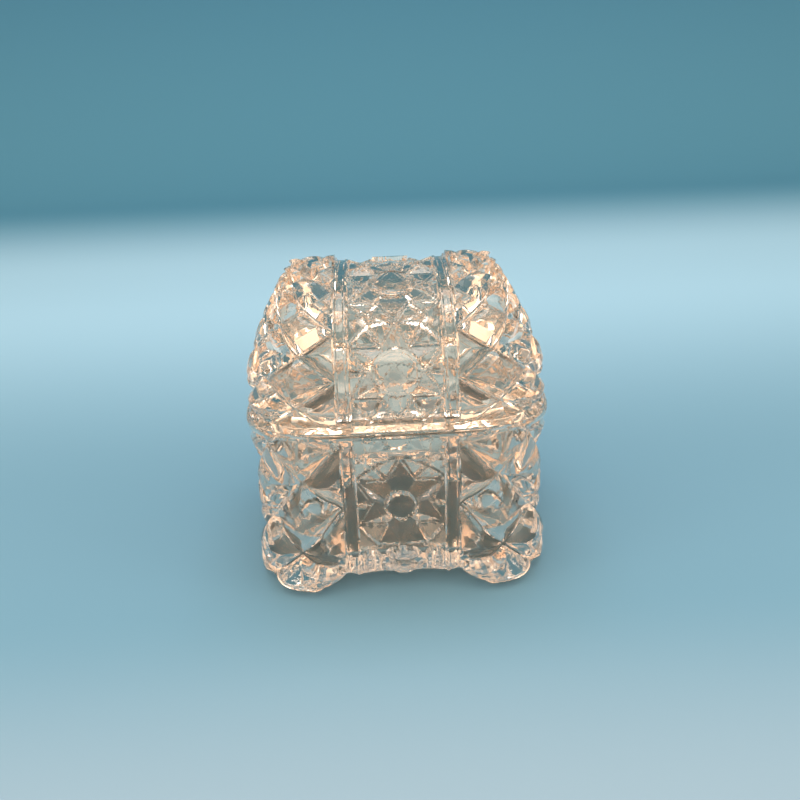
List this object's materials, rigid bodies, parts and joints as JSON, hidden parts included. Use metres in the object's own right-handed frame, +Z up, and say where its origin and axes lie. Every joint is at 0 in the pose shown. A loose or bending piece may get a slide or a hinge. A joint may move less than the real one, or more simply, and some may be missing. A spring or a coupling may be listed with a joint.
{
  "type": "covered candy dish",
  "caption": "Small clear pressed-glass candy box shaped like a treasure chest: a footed dish with raised diamond hobs and starred panels, and a domed lid that lifts off.",
  "frame": {"origin": "on the table, under the middle of the dish", "axes": "+Z up, +X to the right along the starred front, -Y out of the starred front"},
  "size_m": [0.109, 0.0968, 0.1134],
  "materials": {
    "dish_glass": "clear pressed glass, fire-polished",
    "lid_glass": "clear pressed glass, fire-polished"
  },
  "bodies": {
    "dish": {"dish": "dish_glass"},
    "lid": {"lid": "lid_glass"}
  },
  "joints": [
    {"name": "lid_lift", "type": "slide", "parent": "dish", "child": "lid", "axis": [0, 0, 1], "range_m": [0, 0.08]}
  ]
}
